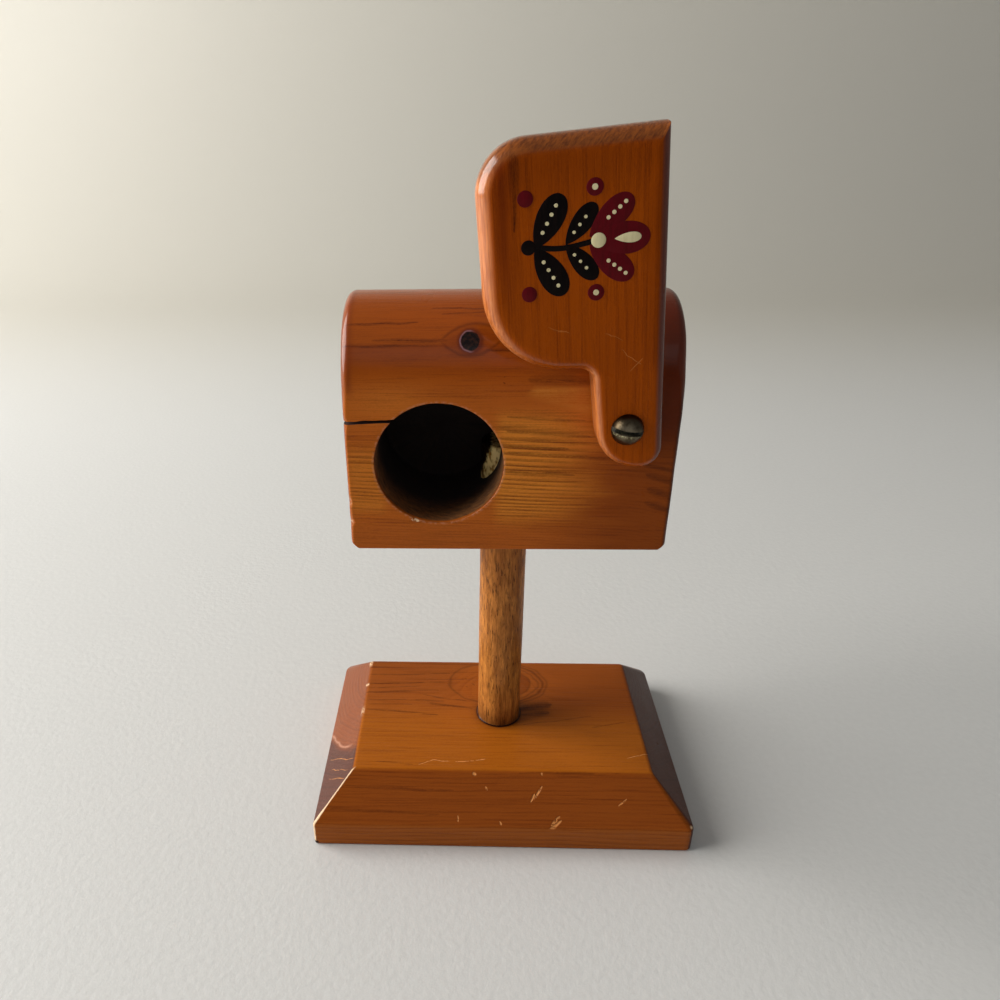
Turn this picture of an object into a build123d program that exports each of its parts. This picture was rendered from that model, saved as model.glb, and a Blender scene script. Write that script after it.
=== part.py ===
from build123d import *
import math
import os

# A wooden stamp dispenser in the form of a small letterbox on a post. A bevelled base carries a
# round post, the post carries the housing, and a flag-shaped cover swings on a wood screw over
# the round chamber that holds a roll of stamps. The strip leaves through the saw slot.
# Millimetres. +X to the right, -Y towards the viewer, +Z up, origin at the middle of the base's
# underside.

# Base: three-quarter inch board with a mitred 45 degree bevel round its top
base_length = 109.2
base_width = 71.8
base_thickness = 19.05
base_bevel = 11.0
base_easing = 0.6

# Post: dowel, glued into a blind mortise at each end
post_radius = 6.6
post_exposed = 71.1
base_mortise_depth = 12.7
housing_mortise_depth = 23.1
glue_line = 0.05
post_end_chamfer = 0.8

# Housing: inch and a half stock, half-round along its top
housing_length = 80.4
housing_thickness = 38.1
housing_height = 62.1
housing_easing = 1.6

# Roll chamber: bored from the front with an inch and a quarter bit, short of the back
chamber_radius = 15.875
chamber_depth = 29.0
chamber_from_left = 22.85
chamber_from_bottom = 23.75

# Saw slot: from the left end into the chamber, through the whole thickness
slot_width = 0.8
slot_from_bottom = 34.7
slot_rise_angle = 2.2
slot_break_through = 1.0
slot_overrun = 4.0

# Cover: flag-shaped, measured from its pivot with the arm upright. Right is +X, up is +Z.
cover_thickness = 8.0
cover_gap = 0.25
cover_lean = 4.9
cover_right = 8.2
cover_left = -30.5
cover_top_right = 62.4
cover_top_left = 62.2
cover_bottom = -10.2
blade_bottom_at_neck = 14.3
blade_bottom_at_left = 15.7
arm_left_at_neck = -7.5
arm_left_at_bottom = -6.2
top_corner_radius = 10.9
blade_corner_radius = 17.4
neck_radius = 3.0
arm_left_radius = 9.8
arm_right_radius = 4.9
cover_front_rounding = 3.4
cover_back_easing = 0.6

# Pivot and its round-head wood screw
pivot_x = 25.8
pivot_from_bottom = 36.3
screw_length = 31.75
screw_smooth_length = 11.0
screw_shank_radius = 2.08
screw_core_radius = 1.75
screw_point_length = 5.0
screw_point_radius = 0.4
screw_head_radius = 3.7
screw_head_height = 3.05
screw_slot_width = 1.15
screw_slot_depth = 1.6
screw_slot_turn = 7.0
pilot_radius = 1.6
pilot_extra_depth = 1.0
running_clearance = 0.05
head_clearance = 0.1

# Worked out from the values above
mortise_floor = base_thickness - base_mortise_depth
housing_bottom = base_thickness + post_exposed
housing_top = housing_bottom + housing_height
round_top_radius = housing_thickness / 2
round_top_centre = housing_top - round_top_radius
front_face = -housing_thickness / 2
chamber_x = chamber_from_left - housing_length / 2
chamber_z = housing_bottom + chamber_from_bottom
pivot_z = housing_bottom + pivot_from_bottom
cover_back = front_face - cover_gap
cover_front = cover_back - cover_thickness
head_seat = cover_front - head_clearance


def round_bar(radius, length):
    """Cylinder that starts at the origin and rises along Z."""
    return Cylinder(radius, length, align=(Align.CENTER, Align.CENTER, Align.MIN))


def make_base():
    """Board with a mitred bevel: a straight-sided slab below a slab tapered at 45 degrees."""
    side_height = base_thickness - base_bevel
    outline = Rectangle(base_length, base_width)
    slab = extrude(outline, side_height)
    tapered = extrude(Pos(0, 0, side_height) * outline, base_bevel, taper=45)
    board = slab + tapered
    board = fillet(board.edges().filter_by(Axis.Z), base_easing)
    board = fillet(board.faces().sort_by(Axis.Z)[-1].edges(), base_easing)
    mortise = round_bar(post_radius + glue_line, base_mortise_depth)
    return board - Pos(0, 0, mortise_floor) * mortise


def make_post():
    """Round dowel with chamfered ends, from the base's mortise floor to the housing's."""
    dowel = round_bar(post_radius, base_mortise_depth + post_exposed + housing_mortise_depth)
    dowel = chamfer(dowel.edges().filter_by(GeomType.CIRCLE), post_end_chamfer)
    return Pos(0, 0, mortise_floor) * dowel


def housing_profile():
    """End profile in the YZ plane: flat bottom, upright sides and a half-round top."""
    half = housing_thickness / 2
    with BuildSketch(Plane.YZ) as profile:
        with BuildLine():
            Line((-half, housing_bottom), (half, housing_bottom))
            Line((half, housing_bottom), (half, round_top_centre))
            ThreePointArc((half, round_top_centre), (0, housing_top), (-half, round_top_centre))
            Line((-half, round_top_centre), (-half, housing_bottom))
        make_face()
    return profile.sketch


def make_slot():
    """Saw cut from outside the left end, rising a little, to just inside the chamber's wall."""
    left_end = -housing_length / 2
    above_centre = slot_from_bottom - chamber_from_bottom
    wall_x = chamber_x - math.sqrt(chamber_radius**2 - above_centre**2)
    run = wall_x - left_end + slot_break_through
    saw = Box(
        run + slot_overrun,
        housing_thickness + 2 * slot_overrun,
        slot_width,
        align=(Align.MIN, Align.CENTER, Align.CENTER),
    )
    start = Pos(left_end, 0, housing_bottom + slot_from_bottom)
    return start * Rot(0, -slot_rise_angle, 0) * Pos(-slot_overrun, 0, 0) * saw


def make_housing():
    """Half-round block with the chamber, the saw slot, the post's mortise and the pilot hole."""
    block = extrude(housing_profile(), housing_length / 2, both=True)
    left_end, right_end = block.faces().filter_by(Axis.X)
    bottom_edges = block.faces().sort_by(Axis.Z)[0].edges().filter_by(Axis.X)
    block = fillet(left_end.edges() + right_end.edges() + bottom_edges, housing_easing)

    inwards = Rot(-90, 0, 0)
    chamber = Pos(chamber_x, front_face, chamber_z) * inwards * round_bar(chamber_radius, chamber_depth)
    mortise = Pos(0, 0, housing_bottom) * round_bar(post_radius + glue_line, housing_mortise_depth)
    pilot_depth = head_seat + screw_length + pilot_extra_depth - front_face
    pilot = Pos(pivot_x, front_face, pivot_z) * inwards * round_bar(pilot_radius, pilot_depth)
    return block - chamber - make_slot() - mortise - pilot


def cover_outline():
    """Flag outline about the pivot, arm upright, as straight runs with their corners rounded."""
    neck = (arm_left_at_neck, blade_bottom_at_neck)
    blade_corner = (cover_left, blade_bottom_at_left)
    top_left = (cover_left, cover_top_left)
    top_right = (cover_right, cover_top_right)
    arm_right = (cover_right, cover_bottom)
    arm_left = (arm_left_at_bottom, cover_bottom)
    with BuildSketch() as outline:
        with BuildLine():
            Polyline(neck, blade_corner, top_left, top_right, arm_right, arm_left, close=True)
        make_face()
        rounded = (
            (neck, neck_radius),
            (blade_corner, blade_corner_radius),
            (top_left, top_corner_radius),
            (arm_right, arm_right_radius),
            (arm_left, arm_left_radius),
        )
        for corner, radius in rounded:
            nearest = outline.vertices().sort_by_distance((corner[0], corner[1], 0))[0]
            fillet(nearest, radius)
    return outline.sketch


def make_cover():
    """Flag cut from thin board, its front edge rounded over, bored for the screw's shank."""
    board = extrude(cover_outline(), cover_thickness)
    faces = board.faces().sort_by(Axis.Z)
    board = fillet(faces[-1].edges(), cover_front_rounding)
    back = board.faces().sort_by(Axis.Z)[0]
    board = chamfer(back.edges(), cover_back_easing)
    board = board - round_bar(screw_shank_radius + running_clearance, cover_thickness)
    return Pos(pivot_x, cover_back, pivot_z) * Rot(90, 0, 0) * Rot(0, 0, cover_lean) * board


def make_screw():
    """Round-head slotted wood screw: domed head, smooth shank, slimmer core and a blunt point."""
    core_end = screw_length - screw_point_length
    sphere_radius = (screw_head_radius**2 + screw_head_height**2) / (2 * screw_head_height)
    dome_angle = math.asin(screw_head_radius / sphere_radius) / 2
    dome_x = sphere_radius * math.sin(dome_angle)
    dome_z = -screw_head_height + sphere_radius * (1 - math.cos(dome_angle))
    with BuildSketch(Plane.XZ) as half_section:
        with BuildLine():
            ThreePointArc((0, -screw_head_height), (dome_x, dome_z), (screw_head_radius, 0))
            Polyline(
                (screw_head_radius, 0),
                (screw_shank_radius, 0),
                (screw_shank_radius, screw_smooth_length),
                (screw_core_radius, screw_smooth_length + screw_shank_radius - screw_core_radius),
                (screw_core_radius, core_end),
                (screw_point_radius, screw_length),
                (0, screw_length),
                (0, -screw_head_height),
            )
        make_face()
    screw = revolve(half_section.sketch, Axis.Z)
    driver_slot = Box(
        2.5 * screw_head_radius,
        screw_slot_width,
        screw_slot_depth,
        align=(Align.CENTER, Align.CENTER, Align.MIN),
    )
    screw = screw - Pos(0, 0, -screw_head_height) * Rot(0, 0, screw_slot_turn) * driver_slot
    return Pos(pivot_x, head_seat, pivot_z) * Rot(-90, 0, 0) * screw


pieces = {
    "base": make_base(),
    "post": make_post(),
    "roll_housing": make_housing(),
    "swing_cover": make_cover(),
    "pivot_screw": make_screw(),
}

os.makedirs("parts", exist_ok=True)
for node, solid in pieces.items():
    export_step(solid, f"parts/{node}.step")
    size = solid.bounding_box().size
    print(f"{node}: volume {solid.volume:.0f} mm3, size {size.X:.1f} x {size.Y:.1f} x {size.Z:.1f}")
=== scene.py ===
# %% [markdown]
# # A wooden stamp dispenser, dressed for its picture
#
# The object is a small letterbox on a post: a bevelled base, a turned post, a block with a round
# chamber for a roll of stamps, and a flag-shaped cover that swings on a wood screw. The CAD model
# gives the sizes. Here each wooden piece is rebuilt as a surface worked out with numpy, so that
# its edges can be as soft and uneven as sandpaper leaves them, and each gets its own pine.
#
# Lengths are in millimetres until a mesh is filled, because that is how the maker measured.

# %% Load the fixed frame
import math

import bmesh
import bpy
import numpy as np
from mathutils import Matrix, Vector


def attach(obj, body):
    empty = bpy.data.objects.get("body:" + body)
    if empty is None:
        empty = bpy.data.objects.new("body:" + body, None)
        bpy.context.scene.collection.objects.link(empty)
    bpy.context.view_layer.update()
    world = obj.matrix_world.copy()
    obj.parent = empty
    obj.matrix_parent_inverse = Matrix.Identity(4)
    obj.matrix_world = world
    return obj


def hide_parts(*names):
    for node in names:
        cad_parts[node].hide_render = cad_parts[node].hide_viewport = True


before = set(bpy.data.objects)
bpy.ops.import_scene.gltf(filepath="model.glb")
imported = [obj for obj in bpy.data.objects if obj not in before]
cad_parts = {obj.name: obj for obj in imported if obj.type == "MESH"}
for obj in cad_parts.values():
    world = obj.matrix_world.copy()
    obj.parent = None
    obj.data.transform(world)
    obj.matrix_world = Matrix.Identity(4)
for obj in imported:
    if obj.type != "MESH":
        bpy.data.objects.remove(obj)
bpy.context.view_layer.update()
MM = 0.001
print("CAD nodes:", ", ".join(sorted(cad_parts)))


def add_object(name, data):
    """New object in the scene that holds a mesh, a lamp or the camera."""
    made = bpy.data.objects.new(name, data)
    bpy.context.scene.collection.objects.link(made)
    return made



# %% [markdown]
# ## The camera
#
# The photograph was taken from in front and above, a little to the left, with a phone held not
# quite level. A camera can be matched by eye, but straight edges of known length let one be
# solved for instead, and these numbers are that solution: a place, a heading, a downward tilt, a
# small roll, and the lens in pixels for a picture 1000 pixels wide. The picture was cropped off
# centre, so the lens looks through a point 63 pixels left of its middle, and a sideways shift
# of the sensor says so.

# %% Place the camera
lens_in_pixels = 768.29
picture_width = 1000
sensor_width = 36.0
camera_place = np.array([-10.627, -191.193, 190.177])
heading = -0.0417
tilt_down = 0.4619
roll = 0.0156
lens_left_of_middle = 62.667

ahead = np.array(
    [
        math.sin(heading) * math.cos(tilt_down),
        math.cos(heading) * math.cos(tilt_down),
        -math.sin(tilt_down),
    ]
)
level_right = np.array([math.cos(heading), -math.sin(heading), 0.0])
level_down = np.cross(ahead, level_right)
picture_right = math.cos(roll) * level_right + math.sin(roll) * level_down
picture_down = math.cos(roll) * level_down - math.sin(roll) * level_right

camera_data = bpy.data.cameras.new("camera")
camera_data.sensor_width = sensor_width
camera_data.lens = lens_in_pixels * sensor_width / picture_width
camera_data.shift_x = lens_left_of_middle / picture_width
camera = add_object("camera", camera_data)
turn = np.eye(4)
turn[:3, 0] = picture_right
turn[:3, 1] = -picture_down
turn[:3, 2] = -ahead
turn[:3, 3] = camera_place * MM
camera.matrix_world = Matrix(turn.tolist())
bpy.context.scene.camera = camera
bpy.context.scene.view_settings.view_transform = "Standard"
print("lens:", round(camera_data.lens, 2), "mm")

# %% [markdown]
# ## Skins made of rings
#
# Every wooden piece here can be wrapped in a stack of closed rings: rings round a post, rings
# round a board's edge, rings that shrink to a point where the skin closes. One helper turns such
# a stack, an array of rows x points x 3, into a mesh. Point i of a ring joins point i of the
# next, so the whole index table is four shifted copies of one grid of numbers.

# %% Turn a stack of rings into a mesh
sharp_angle = math.radians(38)


def quad_table(rows, points, closed=True, first=0):
    """Corner numbers of the quads between rows of points. Quad (r, i) joins points i and i+1 of
    row r to points i+1 and i of row r+1. In closed rows the last point is followed by the first.
    """
    number = first + np.arange(rows * points).reshape(rows, points)
    beside = np.roll(number, -1, axis=1)
    quads = np.stack([number[:-1], beside[:-1], beside[1:], number[1:]], axis=-1)
    if not closed:
        quads = quads[:, :-1]
    return quads.reshape(-1, 4).tolist()


def smooth(mesh, sharp_from=sharp_angle):
    """Smooth shading, with a sharp edge wherever faces meet at more than this angle."""
    mesh.polygons.foreach_set("use_smooth", np.ones(len(mesh.polygons), bool))
    mesh.set_sharp_from_angle(angle=sharp_from)


def ring_mesh(name, rings, row_material=None, caps=False):
    """Skin over closed rings, shape (rows, points, 3), in millimetres.

    An end ring that has shrunk to one spot becomes a pole, or with caps the first and last ring
    are filled flat. row_material gives a material number per band of quads.
    """
    rows, points = rings.shape[:2]
    faces = quad_table(rows, points)
    if caps:
        last = (rows - 1) * points
        faces += [list(range(points)), list(range(last, last + points))]
    mesh = bpy.data.meshes.new(name)
    mesh.from_pydata((rings.reshape(-1, 3) * MM).tolist(), [], faces)
    if row_material is not None:
        per_face = np.repeat(row_material, points)
        mesh.polygons.foreach_set("material_index", per_face)
    return mesh


def close_mesh(mesh):
    """Merges doubled points at seams and poles, and turns every face outwards."""
    work = bmesh.new()
    work.from_mesh(mesh)
    bmesh.ops.remove_doubles(work, verts=work.verts, dist=0.001 * MM)
    bmesh.ops.recalc_face_normals(work, faces=work.faces)
    open_edges = sum(edge.is_boundary for edge in work.edges)
    work.to_mesh(mesh)
    work.free()
    smooth(mesh)
    print(f"{mesh.name}: {len(mesh.polygons)} faces, {open_edges} open edges")
    return mesh


def raised(flat, heights):
    """Rings from flat outlines, shape (rows, points, 2), and one height for each row."""
    height = np.broadcast_to(heights[:, None, None], flat[..., :1].shape)
    return np.concatenate([flat, height], -1)


def prism(name, outline, y_places):
    """Solid whose outline in x and z is carried from one y to another."""
    rings = np.stack([np.insert(outline, 1, y_place, axis=1) for y_place in y_places])
    return close_mesh(ring_mesh(name, rings, caps=True))


def place_piece(name, mesh, materials, body, node=None):
    """Object at the origin that rides on a body, and stands for a CAD node where one is named."""
    piece = add_object(name, mesh)
    for material in materials:
        mesh.materials.append(material)
    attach(piece, body)
    if node:
        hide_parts(node)


# %% [markdown]
# ## Rounded outlines
#
# Boards have straight sides and rounded corners. If an outline is always described by its sharp
# corners and a radius at each, moving it inwards is easy: every side moves in by its own amount,
# the corners are found again where the sides meet, and the radii shrink. Outlines made this way
# have the same number of points whatever their size, so they stack into a skin.


# %% Outlines with rounded corners
def rounded_outline(corners, radii, arc_steps=10, run_steps=24):
    """Closed outlines with rounded corners, shape (..., corners * (arc_steps + run_steps), 2).

    A corner that turns by angle a has its arc begin r * tan(|a| / 2) before it. The arc's points
    are centre - r cos(q) side + r sin(q) forward, for q from 0 to |a|, and the straight run to
    the next arc is divided more finely near its ends, by (1 - cos(pi s)) / 2.
    """
    before = np.roll(corners, 1, axis=-2)
    after = np.roll(corners, -1, axis=-2)
    forward = corners - before
    forward = forward / np.linalg.norm(forward, axis=-1, keepdims=True)
    onward = after - corners
    onward = onward / np.linalg.norm(onward, axis=-1, keepdims=True)
    cross = forward[..., 0] * onward[..., 1] - forward[..., 1] * onward[..., 0]
    bend = np.arctan2(cross, (forward * onward).sum(-1))
    radii = np.broadcast_to(radii, bend.shape)[..., None]
    side = np.stack([-forward[..., 1], forward[..., 0]], -1) * np.sign(bend)[..., None]
    size = np.abs(bend)[..., None]
    centre = corners - forward * radii * np.tan(size / 2) + side * radii
    angle = (size * np.linspace(0, 1, arc_steps))[..., None]
    swing = np.sin(angle) * forward[..., None, :] - np.cos(angle) * side[..., None, :]
    arcs = centre[..., None, :] + radii[..., None] * swing
    starts = arcs[..., -1:, :]
    ends = np.roll(arcs[..., :1, :], -1, axis=-3)
    share = (1 - np.cos(np.pi * np.linspace(0, 1, run_steps + 2)[1:-1])) / 2
    runs = starts + share[:, None] * (ends - starts)
    path = np.concatenate([arcs, runs], axis=-2)
    return path.reshape(*path.shape[:-3], -1, 2)


def moved_in(corners, inset):
    """Corners of an anticlockwise outline after each side has moved inwards by its own inset.

    A corner's shift v has v . n = inset for the inward normals n of both sides that meet there.
    inset has shape (..., corners), for the side that follows each corner.
    """
    onward = np.roll(corners, -1, axis=-2) - corners
    onward = onward / np.linalg.norm(onward, axis=-1, keepdims=True)
    normal = np.stack([-onward[..., 1], onward[..., 0]], -1)
    last_normal = np.roll(normal, 1, axis=-2)
    last_inset = np.roll(inset, 1, axis=-1)
    cross = last_normal[..., 0] * normal[..., 1] - last_normal[..., 1] * normal[..., 0]
    shift_x = (last_inset * normal[..., 1] - inset * last_normal[..., 1]) / cross
    shift_y = (inset * last_normal[..., 0] - last_inset * normal[..., 0]) / cross
    return corners + np.stack([shift_x, shift_y], -1)


def rounded_profile(points, radii, arc_steps=8):
    """Open line through the points, each inner corner replaced by an arc of its radius."""
    points = np.asarray(points, float)
    closed = rounded_outline(points, np.array([1e-6, *radii, 1e-6]), arc_steps, 0)
    arcs = closed.reshape(len(points), arc_steps, 2)
    return np.concatenate([points[:1], arcs[1:-1].reshape(-1, 2), points[-1:]])


def lathe(profile, points=96):
    """Rings of a turned shape: profile is (radius, height) per row, turned about the Z axis."""
    angle = np.linspace(0, 2 * np.pi, points, endpoint=False)
    circle = np.stack([np.cos(angle), np.sin(angle)], -1)
    return raised(profile[:, None, :1] * circle, profile[:, 1])


# %% [markdown]
# ## Uneven by hand
#
# Sanding never leaves an edge the same width all along. A little smooth randomness is added to
# roundings and radii: a few sine waves whose lengths don't divide into each other never visibly
# repeat, need no stored numbers, and give the same result on every run.


# %% Smooth randomness along an edge
def wander(distance, length, seed=0.0):
    """Smooth waves between about -1 and 1: three sines, 1, 0.62 and 0.37 of length long."""
    phase = 2 * np.pi * np.asarray(distance) / length
    slow = np.sin(phase + 1.3 * seed)
    middle = np.sin(phase / 0.62 + 2.1 * seed + 0.7)
    quick = np.sin(phase / 0.37 + 3.7 * seed + 1.9)
    return 0.5 * slow + 0.3 * middle + 0.2 * quick


def bell(distance, width):
    """Smooth bump, 1 at distance 0, falling as exp(-(distance / width)^2)."""
    return np.exp(-((distance / width) ** 2))


# %% [markdown]
# ## Patterns written as formulas
#
# A material's nodes are a formula drawn as boxes. For wood the formula is long, so it is easier
# to read written down. A Field holds one number at every point of a surface, and Python's
# signs between fields add the Math nodes. Everything is measured in millimetres from the
# object's own origin, so a pattern stays put when the piece moves.


# %% Fields: arithmetic that draws nodes
def linear(colour):
    """Linear colour from the 0 to 255 numbers that a paint program shows."""
    share = np.array(colour) / 255
    straight = np.where(share > 0.04045, ((share + 0.055) / 1.055) ** 2.4, share / 12.92)
    return straight.tolist()


def math_node(tree, operation, *values, kind="ShaderNodeMath"):
    """A Math node. Its inputs are fields, sockets or fixed values. Gives the node back."""
    made = tree.nodes.new(kind)
    made.operation = operation
    for socket, value in zip(made.inputs, values):
        if isinstance(value, Field):
            tree.links.new(value.socket, socket)
        elif isinstance(value, bpy.types.NodeSocket):
            tree.links.new(value, socket)
        else:
            socket.default_value = value
    return made


class Field:
    """One number at every point of a surface: a socket in a material's node tree."""

    def __init__(self, tree, socket):
        self.tree = tree
        self.socket = socket

    def math(self, operation, *others):
        """A Math node with this field as its first input."""
        return Field(self.tree, math_node(self.tree, operation, self, *others).outputs[0])

    def __add__(self, other):
        return self.math("ADD", other)

    def __mul__(self, other):
        return self.math("MULTIPLY", other)

    def __sub__(self, other):
        if isinstance(other, Field):
            return self.math("SUBTRACT", other)
        return self.math("ADD", -other)

    def __rsub__(self, other):
        return Field(self.tree, math_node(self.tree, "SUBTRACT", other, self).outputs[0])

    def __truediv__(self, other):
        if isinstance(other, Field):
            return self.math("DIVIDE", other)
        return self * (1.0 / other)

    __radd__ = __add__
    __rmul__ = __mul__

    def size(self):
        return self.math("ABSOLUTE")

    def squared(self):
        return self * self

    def root(self):
        return self.math("SQRT")

    def either(self, other):
        """The larger of two masks."""
        return self.math("MAXIMUM", other)

    def clipped(self):
        """Kept between 0 and 1."""
        made = self * 1.0
        made.socket.node.use_clamp = True
        return made

    def step(self, low, high):
        """0 below low, 1 above high, and an S-shaped rise between them. high may be below low."""
        made = self.tree.nodes.new("ShaderNodeMapRange")
        made.interpolation_type = "SMOOTHSTEP"
        self.tree.links.new(self.socket, made.inputs["Value"])
        made.inputs["From Min"].default_value = min(low, high)
        made.inputs["From Max"].default_value = max(low, high)
        made.inputs["To Min"].default_value = float(low > high)
        made.inputs["To Max"].default_value = float(low < high)
        return Field(self.tree, made.outputs["Result"])

    def bell(self, width):
        """exp(-(value / width)^2): 1 where the field is 0."""
        return (self / width).squared().math("MULTIPLY", -1.0).math("EXPONENT")


def apart(*sides):
    """Distance from its parts along x, y and so on: the root of the sum of their squares."""
    total = sides[0].squared()
    for side in sides[1:]:
        total = total + side.squared()
    return total.root()


def rotated(across, up, angle):
    """Two flat coordinates, arrays or fields, turned anticlockwise by an angle."""
    cosine, sine = math.cos(angle), math.sin(angle)
    return across * cosine - up * sine, across * sine + up * cosine


# %% A material written with fields
class Finish:
    """A new material whose pattern is written with fields: place is x, y and z in millimetres,
    normal is where the surface faces. Its colour starts as a blend and is laid on in stains."""

    def __init__(self, name):
        self.material = bpy.data.materials.new(name)
        self.material.use_nodes = True
        self.tree = self.material.node_tree
        self.shader = self.tree.nodes["Principled BSDF"]
        coordinates = self.tree.nodes.new("ShaderNodeTexCoord")
        self.place = self.parts(coordinates.outputs["Object"], 1 / MM)
        self.normal = self.parts(coordinates.outputs["Normal"], 1.0)

    def parts(self, socket, factor):
        """The three numbers of a vector socket, times a factor."""
        split = self.tree.nodes.new("ShaderNodeSeparateXYZ")
        self.tree.links.new(socket, split.inputs[0])
        return [Field(self.tree, output) * factor for output in split.outputs]

    def vector(self, *values):
        made = self.tree.nodes.new("ShaderNodeCombineXYZ")
        for socket, value in zip(made.inputs, values):
            if isinstance(value, Field):
                self.tree.links.new(value.socket, socket)
            else:
                socket.default_value = value
        return made.outputs[0]

    def noise(self, a, b, c, detail=2.0, roughness=0.5):
        """Soft random field, 0 to 1 and 0.5 on average, whose lumps are about 1 wide in a, b, c."""
        made = self.tree.nodes.new("ShaderNodeTexNoise")
        made.inputs["Scale"].default_value = 1.0
        made.inputs["Detail"].default_value = detail
        made.inputs["Roughness"].default_value = roughness
        self.tree.links.new(self.vector(a, b, c), made.inputs["Vector"])
        return Field(self.tree, made.outputs["Fac"])

    def wave(self, amount, *place_and_detail):
        """Noise about 0 that reaches up to half of amount either way."""
        return (self.noise(*place_and_detail) - 0.5) * amount

    def even_noise(self, size, detail=2.0, roughness=0.5):
        """Noise alike in all three directions, with this many lumps a millimetre."""
        x, y, z = self.place
        return self.noise(x * size, y * size, z * size, detail, roughness)

    def lottery(self, value):
        """A random number from 0 to 1 for each whole value."""
        made = self.tree.nodes.new("ShaderNodeTexWhiteNoise")
        made.noise_dimensions = "1D"
        self.tree.links.new(value.math("FLOOR").socket, made.inputs["W"])
        return Field(self.tree, made.outputs["Value"])

    def blend(self, share, first, second):
        """Colour first where share is 0, second where it is 1. A colour is a socket, or red, green
        and blue from 0 to 255."""
        made = self.tree.nodes.new("ShaderNodeMix")
        made.data_type = "RGBA"
        self.tree.links.new(share.clipped().socket, made.inputs["Factor"])
        sockets = [s for s in made.inputs if s.type == "RGBA"]
        for socket, colour in zip(sockets, (first, second)):
            if isinstance(colour, tuple):
                socket.default_value = (*linear(colour), 1.0)
            else:
                self.tree.links.new(colour, socket)
        return [s for s in made.outputs if s.type == "RGBA"][0]

    def stain(self, share, colour):
        """Lays one more colour over those laid so far, as strong as its share."""
        self.colour = self.blend(share, self.colour, colour)

    def join(self, name, value):
        """Plugs a field or a fixed value into one of the shader's sockets."""
        if isinstance(value, Field):
            self.tree.links.new(value.socket, self.shader.inputs[name])
        else:
            self.shader.inputs[name].default_value = value

    def dry(self, roughness, height):
        """Joins the colour, the roughness and a relief in millimetres. Gives the material back."""
        bump = self.tree.nodes.new("ShaderNodeBump")
        bump.inputs["Distance"].default_value = MM
        self.tree.links.new(height.socket, bump.inputs["Height"])
        self.tree.links.new(bump.outputs[0], self.shader.inputs["Normal"])
        self.tree.links.new(self.colour, self.shader.inputs["Base Color"])
        self.join("Roughness", roughness)
        return self.material


# %% [markdown]
# ## Stained pine under gloss varnish
#
# Pine grows a pale soft layer in spring and a thin hard dark one in summer, so a cut shows
# lines where it meets the yearly shells. An image of wood wouldn't wrap round the edges of a
# block. A solid pattern does: count the rings by the distance from the tree's middle, and any
# surface cut through that field shows long lines on a face and arcs on an end, as real boards
# do. Amber stain darkens the end grain, and the varnish on top gives the shine.

# %% Colours of the stained pine
amber_pine = (186, 92, 16)
summer_wood = (104, 42, 7)
# The deepest brown is a real stain, and in places painted shade.
deep_stain_and_shade = (50, 15, 4)
honey = (240, 160, 88)
# The palest wood is real wear, and in places a painted highlight.
worn_wood_and_highlight = (250, 214, 170)
print("amber pine, linear:", [round(value, 3) for value in linear(amber_pine)])


# %% One year's growth, and the fibres
def year_rings(finish, distance, ring_width, seed=0.0):
    """Darkness of the summer wood, 0 to 1, from the distance to the tree's middle.

    distance / ring_width counts the years. Inside each year darkness climbs slowly and falls at
    once, and every year has a strength of its own.
    """
    years = distance / ring_width + seed
    inside = years.math("FRACT")
    climb = inside.step(0.15, 0.88) * inside.step(1.0, 0.93)
    return climb * (0.3 + 0.7 * finish.lottery(years))


def fibres(finish, along, side, depth):
    """Fine streaks along the grain, about 0 on average: noise squeezed across the grain and
    stretched along it, a little broad unevenness, and specks as small as pores."""
    fine = finish.noise(along * 0.08, side * 2.9, depth * 2.9, 3.0, 0.65)
    broad = finish.noise(along * 0.02, side * 0.5, depth * 0.5)
    specks = finish.noise(along * 1.7, side * 4.6, depth * 4.6, 2.0, 0.7)
    return (fine - 0.5) * 1.3 + (broad - 0.5) * 0.5 + (specks - 0.5) * 0.8


def hairlines(finish, along, side, depth, seed=0.0):
    """Mask of thin dark lines along the grain, where stretched noise comes near its highest."""
    stretched = finish.noise(along * 0.03 + seed, side * 1.5, depth * 1.5, 2.0, 0.6)
    return stretched.step(0.57, 0.70)


def varnished(finish, grain_relief, gloss, shine):
    """Shader settings shared by the varnished wood: soft sheen below, clear coat above. shine is
    the coat's weight: the brush left more varnish on edges than on the flats."""
    cloud = finish.even_noise(0.11, 3.0)
    skin = finish.even_noise(0.5) * 0.035
    finish.join("Specular IOR Level", 0.05)
    finish.join("Coat Weight", shine)
    finish.join("Coat Roughness", 0.14)
    return finish.dry(cloud * 0.22 + (gloss - 0.08), grain_relief + skin)


# %% [markdown]
# ## Marks that a life on a desk leaves
#
# Scratches, dents and single dark lines of grain are short strokes. Each is the distance to a
# straight line between two points, turned into a thin mask that tapers at both ends. Noise bends
# the coordinates first, so hardly a stroke is ruler straight. A list of strokes stays readable,
# and each can be moved on its own.


# %% Strokes on a surface
def shaken(finish, across, up, size, amount, seed=0.0):
    """Two coordinates moved by up to half of amount, by noise of this many lumps a millimetre."""
    wobble = finish.wave(amount, across * size, up * size, seed)
    return across + wobble, up + wobble


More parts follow.
